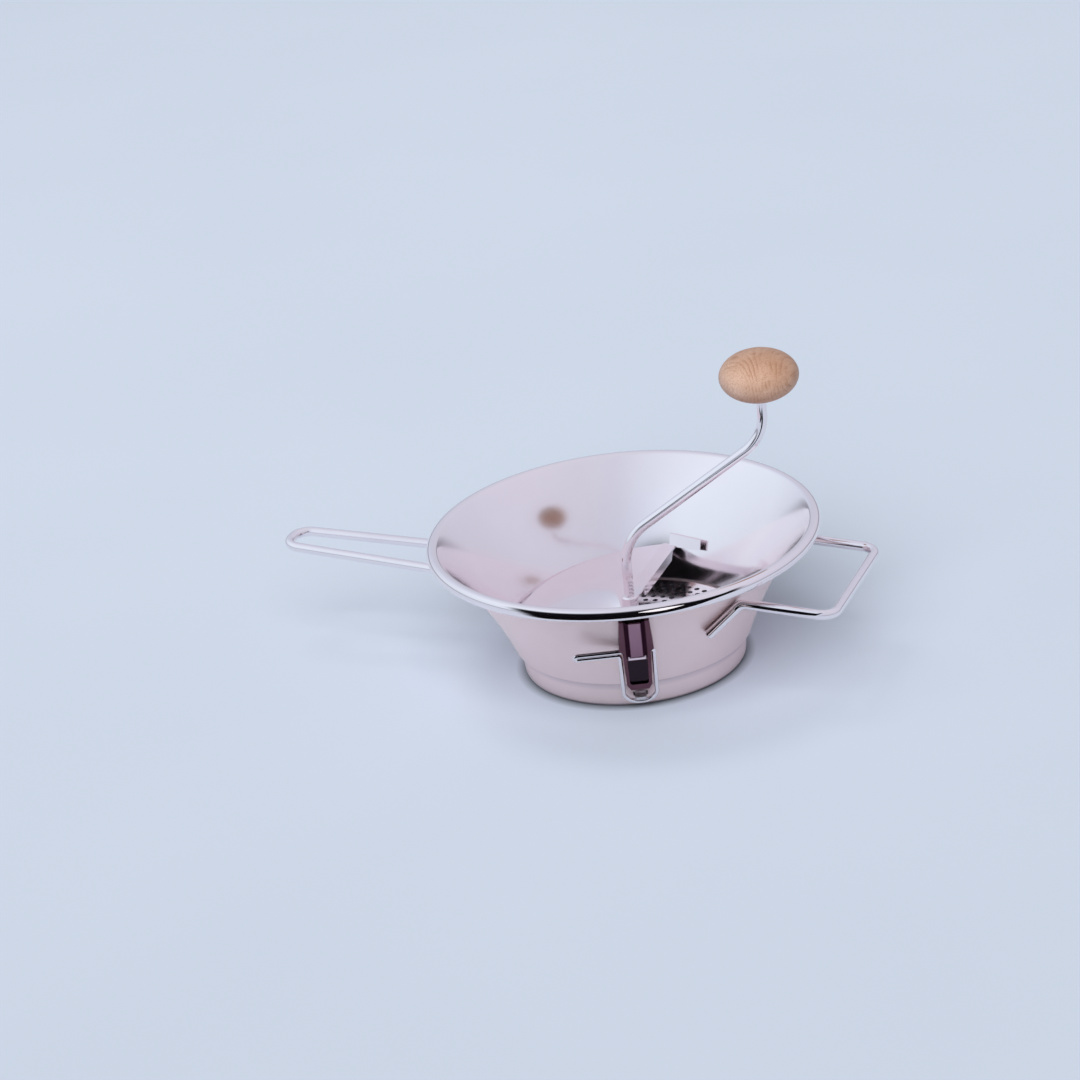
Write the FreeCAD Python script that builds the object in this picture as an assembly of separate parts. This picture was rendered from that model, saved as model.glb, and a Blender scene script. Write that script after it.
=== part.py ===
import FreeCAD, Part
import math
import os

# Food mill. Millimetres, +Z up along the crank axis, origin on the resting plane
# at the bowl's axis. +X points to the short rest loop, -X to the long handle.

V = FreeCAD.Vector

# ---------------------------------------------------------------- driving sizes
SHEET = 0.8                 # bowl wall
RIM_R, RIM_Z = 116.0, 83.7  # centre of the rolled rim's section
CURL_R = 4.0                # outside radius of the roll (rim is 240 across)
CURL_END = -146.0           # where the roll's raw edge stops, degrees
HEM_IN, BASE_R = 63.4, 67.55
SKIRT_TOP_R, LEDGE_Z = 69.2, 17.0
LEDGE_OUT_R = 72.3
WALL_LEAN = 21.0            # wall's lean from vertical where it leaves the ledge
DISC_R, DISC_T = 71.2, 1.0
HOLE_R, HOLE_PITCH = 1.7, 6.1
ROD_R = 3.1                 # crank rod
RUN_FIT = 0.06              # radial play where the rod turns
ARM_AZ = 21.3               # crank arm's direction at rest
ARM_REACH = 90.0
ARM_LOW_Z, ARM_HIGH_Z = 78.5, 136.4
SPINDLE_TOP = 180.8
KNOB_Z, KNOB_A, KNOB_B = 176.4, 24.0, 15.4
HANDLE_R = 3.0
HANDLE_TIP = 223.6
HANDLE_Z0, HANDLE_Z1 = 59.0, 66.7
HANDLE_H0, HANDLE_H1 = 18.4, 11.6
HANDLE_FOOT_Z = 27.0
LOOP_R = 3.0
LOOP_X, LOOP_H = 145.0, 48.0
LOOP_Z0, LOOP_Z1 = 66.4, 59.7
LOOP_FOOT_Z, LOOP_FOOT_H = 47.5, 57.0
FRONT_AZ = -67.6            # bracket, bail and crossbar line
BLADE_AZ = 90.8             # middle of the presser's raised strip
BLADE_SWEEP = 192.0
BLADE_LOW_R, BLADE_TOP_R, BLADE_T = 67.0, 79.4, 1.2
STRIP_W, STRIP_Z = 9.0, 38.8
BAIL_R = 1.35
HINGE_S, HINGE_DEPTH = 33.2, 3.5
CROSS_T = 1.5
WELD_GAP = 0.05

os.makedirs("parts", exist_ok=True)
AXIS = UP = V(0, 0, 1)
O = V(0, 0, 0)


def rad(a):
    return math.radians(a)


# ------------------------------------------------------------------- 2-D tracks
# A track is a chain of tangent lines and arcs in (r, z).
def corner_track(pts, radii):
    out, last = [], pts[0]
    for i in range(1, len(pts) - 1):
        p, a, b = pts[i], pts[i - 1], pts[i + 1]
        u = (a[0] - p[0], a[1] - p[1])
        w = (b[0] - p[0], b[1] - p[1])
        lu, lw = math.hypot(*u), math.hypot(*w)
        u, w = (u[0] / lu, u[1] / lu), (w[0] / lw, w[1] / lw)
        half = math.acos(max(-1, min(1, u[0] * w[0] + u[1] * w[1]))) / 2
        r = radii[i - 1]
        d = r / math.tan(half)
        s, e = (p[0] + u[0] * d, p[1] + u[1] * d), (p[0] + w[0] * d, p[1] + w[1] * d)
        k = r / math.sin(half)
        m = (u[0] + w[0], u[1] + w[1])
        lm = math.hypot(*m)
        c = (p[0] + m[0] / lm * k, p[1] + m[1] / lm * k)
        out.append(("L", last, s))
        a0 = math.atan2(s[1] - c[1], s[0] - c[0])
        a1 = math.atan2(e[1] - c[1], e[0] - c[0])
        while a1 - a0 > math.pi:
            a1 -= 2 * math.pi
        while a1 - a0 < -math.pi:
            a1 += 2 * math.pi
        out.append(("A", c, r, a0, a1))
        last = e
    out.append(("L", last, pts[-1]))
    return out


def shifted(seg, d):
    # the same element moved d to its left
    if seg[0] == "L":
        (x0, y0), (x1, y1) = seg[1], seg[2]
        l = math.hypot(x1 - x0, y1 - y0)
        nx, ny = -(y1 - y0) / l * d, (x1 - x0) / l * d
        return ("L", (x0 + nx, y0 + ny), (x1 + nx, y1 + ny))
    c, r, a0, a1 = seg[1:]
    return ("A", c, r + d if a1 < a0 else r - d, a0, a1)


def ends(seg):
    if seg[0] == "L":
        return seg[1], seg[2]
    c, r, a0, a1 = seg[1:]
    return ((c[0] + r * math.cos(a0), c[1] + r * math.sin(a0)),
            (c[0] + r * math.cos(a1), c[1] + r * math.sin(a1)))


def p3(p):
    return V(p[0], 0, p[1])


def edge_of(seg):
    s, e = ends(seg)
    if seg[0] == "L":
        return Part.LineSegment(p3(s), p3(e)).toShape()
    c, r, a0, a1 = seg[1:]
    m = (a0 + a1) / 2
    return Part.Arc(p3(s), V(c[0] + r * math.cos(m), 0, c[1] + r * math.sin(m)), p3(e)).toShape()


def sheet_face(track, t):
    left = [shifted(s, t / 2) for s in track]
    right = [shifted(s, -t / 2) for s in track]
    es = [edge_of(s) for s in left]
    es.append(Part.LineSegment(p3(ends(left[-1])[1]), p3(ends(right[-1])[1])).toShape())
    es += [edge_of(s) for s in reversed(right)]
    es.append(Part.LineSegment(p3(ends(right[0])[0]), p3(ends(left[0])[0])).toShape())
    return Part.Face(Part.Wire(Part.__sortEdges__(es)))


def lathe(pts):
    w = Part.makePolygon([V(r, 0, z) for r, z in pts] + [V(pts[0][0], 0, pts[0][1])])
    return Part.Face(w).revolve(O, AXIS, 360)


def ring(r_in, r_out, z0, z1):
    return lathe([(r_in, z0), (r_out, z0), (r_out, z1), (r_in, z1)])


def turned(shape, az):
    s = shape.copy()
    s.rotate(O, AXIS, az)
    return s


# ------------------------------------------------------------------- bent wires
def wire_path(pts, radii):
    pts = [V(*p) for p in pts]
    es, last, length = [], pts[0], 0.0
    for i in range(1, len(pts) - 1):
        p = pts[i]
        u = (pts[i - 1] - p).normalize()
        w = (pts[i + 1] - p).normalize()
        half = math.acos(max(-1, min(1, u.dot(w)))) / 2
        r = radii[i - 1]
        d = r / math.tan(half)
        s, e = p + u * d, p + w * d
        m = (u + w).normalize()
        c = p + m * (r / math.sin(half))
        if (s - last).Length > 1e-6:
            es.append(Part.LineSegment(last, s).toShape())
        es.append(Part.Arc(s, c - m * r, e).toShape())
        length += (s - last).Length + r * (math.pi - 2 * half)
        last = e
    es.append(Part.LineSegment(last, pts[-1]).toShape())
    length += (pts[-1] - last).Length
    return Part.Wire(es), length


def bent_wire(name, pts, radii, r):
    w, length = wire_path(pts, radii)
    d = (V(*pts[1]) - V(*pts[0])).normalize()
    prof = Part.Wire(Part.Circle(V(*pts[0]), d, r).toShape())
    s = w.makePipeShell([prof], True, False)
    want = math.pi * r * r * length
    print(f"{name}: swept {s.Volume:.1f} of {want:.1f} mm3, length {length:.1f}, valid {s.isValid()}")
    return s


# ------------------------------------------------------------------------- bowl
lean = rad(WALL_LEAN)
corner = (LEDGE_OUT_R, LEDGE_Z)
wall0 = (corner[0] + 2.2 * math.sin(lean), corner[1] + 2.2 * math.cos(lean))
mid_curl = CURL_R - SHEET / 2
n0 = (math.cos(lean), -math.sin(lean))
wx, wz = wall0[0] - RIM_R, wall0[1] - RIM_Z
WALL_RAD = (mid_curl ** 2 - wx * wx - wz * wz) / (2 * (wx * n0[0] + wz * n0[1]) + 2 * mid_curl)
WC = (wall0[0] + WALL_RAD * n0[0], wall0[1] + WALL_RAD * n0[1])
dk = math.hypot(RIM_R - WC[0], RIM_Z - WC[1])
a_t = math.atan2((RIM_Z - WC[1]) / dk, (RIM_R - WC[0]) / dk)
a_0 = math.atan2(wall0[1] - WC[1], wall0[0] - WC[0])
track = corner_track(
    [(HEM_IN, SHEET / 2), (BASE_R, SHEET / 2), (SKIRT_TOP_R, LEDGE_Z), corner, wall0],
    [2.3, 0.9, 0.9])
while a_0 < a_t:
    a_0 += 2 * math.pi
track.append(("A", WC, WALL_RAD, a_0, a_t))
track.append(("A", (RIM_R, RIM_Z), mid_curl, a_t, rad(CURL_END)))
bowl = sheet_face(track, SHEET).revolve(O, AXIS, 360)


def wall_out(z):
    # outside radius of the flared wall at height z, and its outward normal
    q = WALL_RAD - SHEET / 2
    r = WC[0] - math.sqrt(q * q - (z - WC[1]) ** 2)
    return r, ((WC[0] - r) / q, (WC[1] - z) / q)


print("wall radius", round(WALL_RAD, 1), "outer r at 55.5:", round(wall_out(55.5)[0], 2),
      "tangent", round(math.degrees(a_t), 1))

# solid of everything the bowl's outside holds, a weld gap larger
outside = [shifted(s, -SHEET / 2 - WELD_GAP) for s in track[:-1]]
core_edges = [edge_of(s) for s in outside]
c0, c1 = ends(outside[0])[0], ends(outside[-1])[1]
core_edges += [Part.LineSegment(p3(c1), V(0, 0, c1[1])).toShape(),
               Part.LineSegment(V(0, 0, c1[1]), V(0, 0, c0[1])).toShape(),
               Part.LineSegment(V(0, 0, c0[1]), p3(c0)).toShape()]
core = Part.Face(Part.Wire(Part.__sortEdges__(core_edges))).revolve(O, AXIS, 360)

TONGUE_Z = 8.4              # mid-height of the crossbar's tongues
for az in (FRONT_AZ, FRONT_AZ + 180):
    slot = Part.makeBox(14, 8.6, 3.0, V(60, -4.3, TONGUE_Z - 1.5))
    bowl = bowl.cut(turned(slot, az))

# ------------------------------------------------------------------- sieve disc
disc_z = LEDGE_Z + SHEET / 2
wires = [Part.Wire(Part.Circle(V(0, 0, disc_z), AXIS, DISC_R).toShape()),
         Part.Wire(Part.Circle(V(0, 0, disc_z), AXIS, 4.05).toShape())]
holes = 0
r = 13.2
while r < 65:
    n = int(2 * math.pi * r / HOLE_PITCH)
    for i in range(n):
        a = 2 * math.pi * (i + 0.5 * (int(r) % 2)) / n
        wires.append(Part.Wire(Part.Circle(
            V(r * math.cos(a), r * math.sin(a), disc_z), AXIS, HOLE_R).toShape()))
        holes += 1
    r += HOLE_PITCH * 0.93
sieve_disc = Part.makeFace(wires, "Part::FaceMakerBullseye").extrude(V(0, 0, DISC_T))
print("disc holes", holes, "last ring", round(r - HOLE_PITCH * 0.93, 1))
disc_top = disc_z + DISC_T
EYE = ROD_R + 0.08
eyelet = lathe([(EYE, disc_z - 0.9), (4.8, disc_z - 0.9), (4.8, disc_z), (4.0, disc_z),
                (4.0, disc_top), (4.8, disc_top), (4.8, disc_top + 0.7), (EYE, disc_top + 0.7)])

# ---------------------------------------------------------------- wire handles


def foot(z, h, wr, gap=WELD_GAP):
    # centre of a wire of radius wr lying on the flank at height z, h off the X axis
    ro, (nr, nz) = wall_out(z)
    off = wr + gap
    rr = ro + off * nr
    return (math.sqrt(rr * rr - h * h), h, z + off * nz)


def mirror_y(pts):
    return [(x, -y, z) for x, y, z in pts]


# long handle, drawn toward +X and turned half round at the end
ha = foot(HANDLE_FOOT_Z, HANDLE_H0, HANDLE_R)
hb = foot(HANDLE_Z0, HANDLE_H0, HANDLE_R)
hc = (HANDLE_TIP, HANDLE_H1, HANDLE_Z1)
half_path = [ha, hb, hc]
hpts = half_path + list(reversed(mirror_y(half_path)))
long_handle = turned(bent_wire("long_handle", hpts, [9.0, 10.2, 10.2, 9.0], HANDLE_R), 180)

la = foot(LOOP_FOOT_Z, LOOP_FOOT_H, LOOP_R, 0.25)
lb = foot(LOOP_Z0, LOOP_H, LOOP_R, 0.25)
lc = (LOOP_X, LOOP_H, LOOP_Z1)
half_path = [la, lb, lc]
lpts = half_path + list(reversed(mirror_y(half_path)))
rest_loop = bent_wire("rest_loop", lpts, [7.0, 9.5, 9.5, 7.0], LOOP_R)

# --------------------------------------------------------------- front bracket
# plate frame: X down the slope, Y across, Z out of the plate's face
TOP, LOW = (110.0, 75.0), (77.0, 15.0)
slope_len = math.hypot(TOP[0] - LOW[0], TOP[1] - LOW[1])
ds = ((LOW[0] - TOP[0]) / slope_len, (LOW[1] - TOP[1]) / slope_len)
ns = (-ds[1], ds[0])
plate_frame = FreeCAD.Placement(FreeCAD.Matrix(
    ds[0], 0, ns[0], TOP[0], 0, 1, 0, 0, ds[1], 0, ns[1], TOP[1], 0, 0, 0, 1))


def plate_prism(pts, z0, z1):
    w = Part.makePolygon([V(x, y, z0) for x, y in pts] + [V(pts[0][0], pts[0][1], z0)])
    return Part.Face(w).extrude(V(0, 0, z1 - z0))


def both(side):
    return [(x, y) for x, y in side] + [(x, -y) for x, y in reversed(side)]


PT = 1.2
edge_line = [(0, 8.8), (26.5, 10.2), (28.6, 10.2), (30.6, 8.35), (63.5, 7.5), (slope_len, 5.4)]
inner_line = [(-2, 8.8 - PT), (0, 8.8 - PT), (26.2, 10.2 - PT), (28.2, 10.2 - PT),
              (30.2, 8.35 - PT), (63.2, 7.5 - PT), (slope_len + 2, 4.6 - PT)]
bracket = plate_prism(both(edge_line), -16, 0).cut(plate_prism(both(inner_line), -17, -PT))
# pressed rib that runs out at the top edge and rakes gently into the plate below
RIB_END = 37.6


def rib_solid(half_low, half_top, lift, drop, x0, x1, rake):
    # trapezoid rib, narrower at its crest, square above and raked below
    lo = Part.makePolygon([V(x0, -half_low, drop), V(x1, -half_low, drop), V(x1, half_low, drop),
                           V(x0, half_low, drop), V(x0, -half_low, drop)])
    hi = Part.makePolygon([V(x0, -half_top, lift), V(x1 - rake, -half_top, lift),
                           V(x1 - rake, half_top, lift), V(x0, half_top, lift),
                           V(x0, -half_top, lift)])
    return Part.makeLoft([lo, hi], True, True)


bracket = bracket.fuse(rib_solid(6.2, 3.5, 1.6, -0.6, 0.0, RIB_END, 5.0))
bracket = bracket.cut(rib_solid(5.0, 2.7, 0.5, -PT - 0.5, -2.0, RIB_END - 2.0, 4.6))
# pressed pocket below the rib, one sheet thickness deep
pocket = [(38.4, 6.0), (61.6, 5.6), (63.0, 4.4)]
bracket = bracket.cut(plate_prism(both(pocket), -PT - 0.6, 2))
bracket = bracket.fuse(plate_prism(both([(37.6, 6.6), (61.9, 6.25), (63.6, 4.9)]), -2 * PT, -PT + 0.1).cut(
    plate_prism(both(pocket), -PT, 2)))
pin_hole = Part.makeCylinder(BAIL_R + 0.08, 40, V(HINGE_S, -20, -HINGE_DEPTH), V(0, 1, 0))
bracket = bracket.cut(pin_hole)
bracket.Placement = plate_frame
front_bracket = bracket.cut(core)
front_bracket = max(front_bracket.Solids, key=lambda s: s.Volume).removeSplitter()
front_bracket = turned(front_bracket, FRONT_AZ)

# ------------------------------------------------------------------- latch bail
hinge = (TOP[0] + ds[0] * HINGE_S - ns[0] * HINGE_DEPTH,
         TOP[1] + ds[1] * HINGE_S - ns[1] * HINGE_DEPTH)
FOOT = (72.2, 5.2)          # lowest point of the bail's loop, just outside the skirt
drop = math.hypot(FOOT[0] - hinge[0], FOOT[1] - hinge[1])
db = ((FOOT[0] - hinge[0]) / drop, (FOOT[1] - hinge[1]) / drop)
LEG_V, FINGER_V, FINGER_GAP = 10.0, 36.3, 3.2


def on_bail(v, w):
    return (hinge[0] + db[0] * w, v, hinge[1] + db[1] * w)


bail_pts = [on_bail(-5.2, 0), on_bail(-FINGER_V, 0), on_bail(-FINGER_V, FINGER_GAP),
            on_bail(-LEG_V, FINGER_GAP), on_bail(-LEG_V, drop), on_bail(LEG_V, drop),
            on_bail(LEG_V, 0), on_bail(5.2, 0)]
latch_bail = turned(bent_wire("latch_bail", bail_pts,
                              [1.59, 1.59, 2.6, 9.2, 9.2, 1.7], BAIL_R), FRONT_AZ)
h3 = turned(Part.Vertex(hinge[0], 0, hinge[1]), FRONT_AZ).Point
print("bail hinge at", [round(c, 3) for c in h3], "axis", round(math.cos(rad(FRONT_AZ + 90)), 6),
      round(math.sin(rad(FRONT_AZ + 90)), 6))

# --------------------------------------------------------------------- crossbar
CROSS_Z = 13.6
strap = corner_track([(-73.6, TONGUE_Z), (-56, TONGUE_Z), (-36, CROSS_Z), (36, CROSS_Z),
                      (56, TONGUE_Z), (75.6, TONGUE_Z)], [6, 6, 6, 6])
strap = sheet_face(strap, CROSS_T).extrude(V(0, 24, 0))
strap.translate(V(0, -12, 0))
plan = [(-73.6, 3.4), (-60.5, 3.4), (-57, 8.0), (-18, 8.0), (-9, 10.0), (9, 10.0), (18, 8.0), (57, 8.0),
        (60.5, 3.4), (74.4, 3.4), (75.6, 2.4)]
plan_w = Part.makePolygon([V(x, y, 0) for x, y in both(plan)] + [V(plan[0][0], plan[0][1], 0)])
crossbar = strap.common(Part.Face(plan_w).extrude(V(0, 0, 30)))
crossbar = crossbar.cut(Part.makeCylinder(5.0, 30))
crossbar = turned(max(crossbar.Solids, key=lambda s: s.Volume), FRONT_AZ)
cz0, cz1 = CROSS_Z - CROSS_T / 2, CROSS_Z + CROSS_T / 2
BUSH = ROD_R + RUN_FIT
bush = lathe([(BUSH, 10.8), (4.98, 10.8), (4.98, cz1), (7.0, cz1), (7.0, cz1 + 1.1), (BUSH, cz1 + 1.1)])

# pressed keeper over the rear tongue, closed outside, welded to the skirt
cup = Part.makeBox(10, 15, 10.6, V(66, -7.5, 3.4))
cup = cup.makeFillet(2.0, [e for e in cup.Edges if abs(e.Vertexes[0].X - 76) < 1e-6
                           and abs(e.Vertexes[1].X - 76) < 1e-6])
cup = cup.cut(Part.makeBox(9, 13, 8.6, V(66, -6.5, 4.4)))
cup = cup.cut(core)
rear_keeper = turned(max(cup.Solids, key=lambda s: s.Volume), FRONT_AZ + 180)

# ------------------------------------------------- pressure spring under the bar
spring_seat = ring(5.1, 8.6, cz0 - 0.85, cz0 - 0.05)
washer_z = 4.4
spring_washer = ring(ROD_R + 0.08, 8.6, washer_z, washer_z + 1.2)
SPR_R, SPR_W, SPR_TURNS = 6.6, 0.5, 3.0
s_lo, s_hi = washer_z + 1.2 + SPR_W + 0.06, cz0 - 0.85 - SPR_W - 0.06
helix = Part.makeHelix((s_hi - s_lo) / SPR_TURNS, s_hi - s_lo, SPR_R)
tang = V(0, 1, (s_hi - s_lo) / SPR_TURNS / (2 * math.pi * SPR_R)).normalize()
prof = Part.Wire(Part.Circle(V(SPR_R, 0, 0), tang, SPR_W).toShape())
pressure_spring = Part.Wire(helix).makePipeShell([prof], True, True)
pressure_spring.translate(V(0, 0, s_lo))
print("spring", round(pressure_spring.Volume, 1), "of",
      round(math.pi * SPR_W ** 2 * math.hypot(2 * math.pi * SPR_R * SPR_TURNS, s_hi - s_lo), 1))

# --------------------------------------------------------------------- crank
CLIP_Z = 3.4
crank_pts = [(0, 0, 1.2), (0, 0, ARM_LOW_Z), (ARM_REACH, 0, ARM_HIGH_Z), (ARM_REACH, 0, SPINDLE_TOP)]
crank_rod = bent_wire("crank_rod", crank_pts, [30.0, 27.0], ROD_R)
SNAP_Z = 173.8
groove = Part.makeCylinder(4.2, 1.4).cut(Part.makeCylinder(ROD_R - 0.8, 1.4))
groove.translate(V(ARM_REACH, 0, SNAP_Z - 0.7))
crank_rod = crank_rod.cut(groove)
crank_rod = crank_rod.cut(Part.makeCylinder(0.85, 20, V(0, -10, CLIP_Z), V(0, 1, 0)))
COLLAR_PIN_Z = 30.0
crank_rod = crank_rod.cut(Part.makeCylinder(1.27, 20, V(0, -10, COLLAR_PIN_Z), V(0, 1, 0)))
crank_rod = turned(crank_rod, ARM_AZ)

COLLAR_R, COLLAR_TOP = 5.0, 41.5
COLLAR_IN = ROD_R + 0.02
collar = lathe([(COLLAR_IN, disc_top + 1.1), (COLLAR_R, disc_top + 1.1), (COLLAR_R, COLLAR_TOP - 1.0),
                (COLLAR_R - 1.0, COLLAR_TOP), (COLLAR_IN, COLLAR_TOP)])
collar = collar.cut(Part.makeCylinder(1.27, 20, V(0, -10, COLLAR_PIN_Z), V(0, 1, 0)))
blade_collar = turned(collar, ARM_AZ)
collar_pin = turned(Part.makeCylinder(1.25, 9.8, V(0, -4.9, COLLAR_PIN_Z), V(0, 1, 0)), ARM_AZ)

# R-clip: straight leg through the axle's foot, sprung leg round its outside
CR = 0.8
bulge = ROD_R + CR + 0.15
clip_pts = [(0, -8.0, CLIP_Z), (0, 13.0, CLIP_Z), (6.2, 13.0, CLIP_Z), (2.0, 5.2, CLIP_Z),
            (bulge + 0.9, 0, CLIP_Z), (2.4, -4.8, CLIP_Z), (4.4, -8.6, CLIP_Z)]
axle_clip = turned(bent_wire("axle_clip", clip_pts, [2.0, 2.0, 1.2, 3.4, 1.2], CR), ARM_AZ)

# -------------------------------------------------------------- presser blade
Z_LOW = disc_top + 0.35
HUB = COLLAR_R + 0.05
half_w = STRIP_W / 2


def ramp_curve(r_top, r_low):
    # from just inside the strip's trailing side down to the disc, counter-clockwise from above
    pts, n = [], 28
    a_start = BLADE_AZ + math.degrees(math.asin((half_w - 1.0) / r_top))
    a_stop = BLADE_AZ + BLADE_SWEEP
    for i in range(n + 1):
        u = i / n
        a = rad(a_start + (a_stop - a_start) * u)
        f = (1 - u) ** 1.3
        rr = r_low + (r_top - r_low) * f
        pts.append(V(rr * math.cos(a), rr * math.sin(a), Z_LOW + (STRIP_Z - 0.3 - Z_LOW) * f))
    c = Part.BSplineCurve()
    c.interpolate(Points=pts, Parameters=[i / n for i in range(n + 1)])
    return c


# sheet ruled between the two curves at equal angles' share, so no line of it crosses the axis
c_out, c_in = ramp_curve(BLADE_TOP_R - 0.6, BLADE_LOW_R), ramp_curve(HUB + 0.3, HUB + 0.3)
ruled = Part.BSplineSurface()
ruled.buildFromPolesMultsKnots([[b, a] for a, b in zip(c_out.getPoles(), c_in.getPoles())],
                               c_out.getMultiplicities(), [2, 2], c_out.getKnots(), [0.0, 1.0],
                               False, False, c_out.Degree, 1)
ramp = ruled.toShape().extrude(UP * BLADE_T)
# flat raised strip with a turned-down lip on its leading side
LIP_H = 5.0
ea = rad(BLADE_AZ)
er, ec = V(math.cos(ea), math.sin(ea), 0), V(math.sin(ea), -math.cos(ea), 0)


def at(along, across, z):
    return er * along + ec * across + UP * z


def slab(pts, push):
    return Part.Face(Part.makePolygon(pts + [pts[0]])).extrude(push)


tip = math.sqrt(BLADE_TOP_R ** 2 - half_w ** 2)
hub = math.sqrt(HUB ** 2 - half_w ** 2)
strip = slab([at(hub, -half_w, STRIP_Z), at(tip, -half_w, STRIP_Z), at(tip - 1.0, half_w, STRIP_Z),
              at(hub, half_w, STRIP_Z)], UP * BLADE_T)
lip = slab([at(14, half_w - BLADE_T, STRIP_Z - LIP_H + 1.5), at(18, half_w - BLADE_T, STRIP_Z - LIP_H),
            at(tip - 12, half_w - BLADE_T, STRIP_Z - LIP_H), at(tip - 8, half_w - BLADE_T, STRIP_Z + 0.6),
            at(14, half_w - BLADE_T, STRIP_Z + 0.6)], ec * BLADE_T)
# upturned wiper ear at the tip, reaching ahead along the wall
EAR_L, EAR_H = 21.0, 7.6
ear_back = EAR_L * EAR_L / (2 * BLADE_TOP_R)
k0 = at(tip - 1.5, 0.4, STRIP_Z + 0.3)
k1 = at(tip - 1.5 - ear_back, 0.4 + EAR_L, STRIP_Z + 0.3)
lift = er * (EAR_H * 0.45) + UP * EAR_H
ear = slab([k0, k1, k1 + lift * 0.72, k0 + lift], er * -BLADE_T)
fold = strip.fuse(lip).fuse(ear)
fold = fold.cut(Part.makeCylinder(HUB, 90))
print("ramp", ramp.isValid(), round(ramp.Volume, 1), "fold", fold.isValid(), round(fold.Volume, 1), len(fold.Solids))
blade = ramp.fuse(fold)
blade = max(blade.Solids, key=lambda s: s.Volume)
presser_blade = blade
print("blade", presser_blade.isValid(), round(presser_blade.Volume, 1), len(presser_blade.Solids))

# ------------------------------------------------------------------------ knob
BORE_R, BORE_TOP = 4.42, 183.0
z_foot = KNOB_Z - KNOB_B
n_k = 40
prof_pts = []
for i in range(n_k + 1):
    a = rad(-78 + 168.0 * i / n_k)
    prof_pts.append(V(KNOB_A * math.cos(a), 0, KNOB_Z + KNOB_B * math.sin(a)))
prof_pts[-1] = V(0, 0, KNOB_Z + KNOB_B)
curve = Part.BSplineCurve()
curve.interpolate(prof_pts)
ke = [curve.toShape(),
      Part.LineSegment(prof_pts[-1], V(0, 0, BORE_TOP)).toShape(),
      Part.LineSegment(V(0, 0, BORE_TOP), V(BORE_R, 0, BORE_TOP)).toShape(),
      Part.LineSegment(V(BORE_R, 0, BORE_TOP), V(BORE_R, 0, prof_pts[0].z)).toShape(),
      Part.LineSegment(V(BORE_R, 0, prof_pts[0].z), prof_pts[0]).toShape()]
knob = Part.Face(Part.Wire(Part.__sortEdges__(ke))).revolve(O, AXIS, 360)
sz0, sz1 = prof_pts[0].z + 0.1, 182.4
SLV = ROD_R + 0.08
sleeve = lathe([(SLV, sz0), (4.4, sz0), (4.4, sz1), (SLV, sz1), (SLV, SNAP_Z + 0.75), (SLV + 0.62, SNAP_Z + 0.75),
                (SLV + 0.62, SNAP_Z - 0.75), (SLV, SNAP_Z - 0.75)])
snap = Part.makeTorus(ROD_R - 0.1, 0.5, V(0, 0, SNAP_Z), AXIS)
for s in (knob, sleeve, snap):
    s.translate(V(ARM_REACH, 0, 0))
knob, knob_sleeve, knob_snap_ring = turned(knob, ARM_AZ), turned(sleeve, ARM_AZ), turned(snap, ARM_AZ)
print("spindle at", [round(c, 3) for c in turned(Part.Vertex(ARM_REACH, 0, 0), ARM_AZ).Point])

# ---------------------------------------------------------------------- write
nodes = {
    "bowl": bowl, "sieve_disc": sieve_disc, "disc_eyelet": eyelet, "long_handle": long_handle,
    "rest_loop": rest_loop, "front_bracket": front_bracket, "latch_bail": latch_bail,
    "crossbar": crossbar, "crossbar_bush": bush, "rear_keeper": rear_keeper,
    "spring_seat": spring_seat, "pressure_spring": pressure_spring, "spring_washer": spring_washer,
    "crank_rod": crank_rod, "blade_collar": blade_collar, "collar_pin": collar_pin,
    "axle_clip": axle_clip, "presser_blade": presser_blade, "knob": knob,
    "knob_sleeve": knob_sleeve, "knob_snap_ring": knob_snap_ring,
}
for name, shape in nodes.items():
    if shape.ShapeType != "Solid" and len(shape.Solids) == 1:
        shape = shape.Solids[0]
    b = shape.BoundBox
    print(f"{name:16s} {shape.ShapeType:9s} solids {len(shape.Solids)} valid {shape.isValid()} "
          f"vol {shape.Volume:9.1f}  x {b.XMin:7.1f}..{b.XMax:6.1f} y {b.YMin:7.1f}..{b.YMax:6.1f} "
          f"z {b.ZMin:6.1f}..{b.ZMax:6.1f}")
    shape.exportStep(f"parts/{name}.step")
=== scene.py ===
import math

import bmesh
import bpy
from mathutils import Matrix, Vector


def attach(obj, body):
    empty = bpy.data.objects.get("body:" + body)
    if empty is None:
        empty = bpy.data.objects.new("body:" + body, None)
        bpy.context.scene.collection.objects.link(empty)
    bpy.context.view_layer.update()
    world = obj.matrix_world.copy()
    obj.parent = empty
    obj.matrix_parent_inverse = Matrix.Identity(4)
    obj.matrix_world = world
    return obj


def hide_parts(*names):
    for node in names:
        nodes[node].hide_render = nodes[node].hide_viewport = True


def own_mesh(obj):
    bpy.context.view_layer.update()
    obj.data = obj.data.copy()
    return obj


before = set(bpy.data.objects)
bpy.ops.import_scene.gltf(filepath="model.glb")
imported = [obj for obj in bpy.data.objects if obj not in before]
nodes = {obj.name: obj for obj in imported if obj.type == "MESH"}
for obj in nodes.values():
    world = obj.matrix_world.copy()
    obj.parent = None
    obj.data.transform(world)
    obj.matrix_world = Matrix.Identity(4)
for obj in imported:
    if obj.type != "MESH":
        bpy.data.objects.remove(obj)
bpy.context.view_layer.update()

scene = bpy.context.scene


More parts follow.
